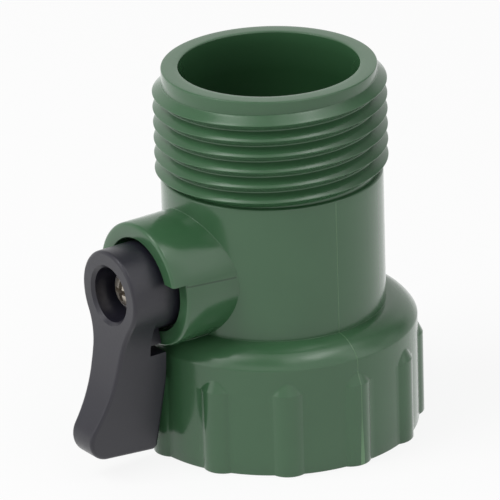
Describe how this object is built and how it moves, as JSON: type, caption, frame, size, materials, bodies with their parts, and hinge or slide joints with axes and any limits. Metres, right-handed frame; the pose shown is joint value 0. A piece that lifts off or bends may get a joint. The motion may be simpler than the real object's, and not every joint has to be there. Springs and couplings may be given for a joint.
{
  "type": "shut-off valve",
  "caption": "Small moulded ball valve: threaded outlet, ribbed threaded inlet collar and a side lever that turns a quarter turn to shut the flow.",
  "frame": {"origin": "centre of the collar's lower face, on the flow axis", "axes": "+Z along the flow from inlet to outlet, -Y out along the stem boss, +X to the side that the lever turns to when it shuts"},
  "size_m": [0.0332, 0.0437, 0.0431],
  "materials": {
    "green_plastic": "semi-gloss moulded",
    "lever_plastic": "satin moulded",
    "seat_plastic": "waxy, smooth",
    "seal_rubber": "matt",
    "ball_plastic": "polished",
    "screw_plating": "bright plated",
    "inner_plastic": "satin moulded"
  },
  "bodies": {
    "valve": {"valve_body": "green_plastic", "seat_retainer": "inner_plastic", "upper_seat": "seat_plastic", "lower_seat": "seat_plastic", "upper_seat_o_ring": "seal_rubber", "lower_seat_o_ring": "seal_rubber", "hose_washer": "seal_rubber", "stem_washer": "seat_plastic"},
    "lever_assembly": {"ball": "ball_plastic", "stem": "inner_plastic", "stem_o_ring_inner": "seal_rubber", "stem_o_ring_outer": "seal_rubber", "lever": "lever_plastic", "lever_screw": "screw_plating"}
  },
  "joints": [
    {"name": "lever_turn", "type": "hinge", "parent": "valve", "child": "lever_assembly", "pos_m": [0, -0.0186, 0.02127], "axis": [0, -1, 0], "range_deg": [0, 90]}
  ]
}
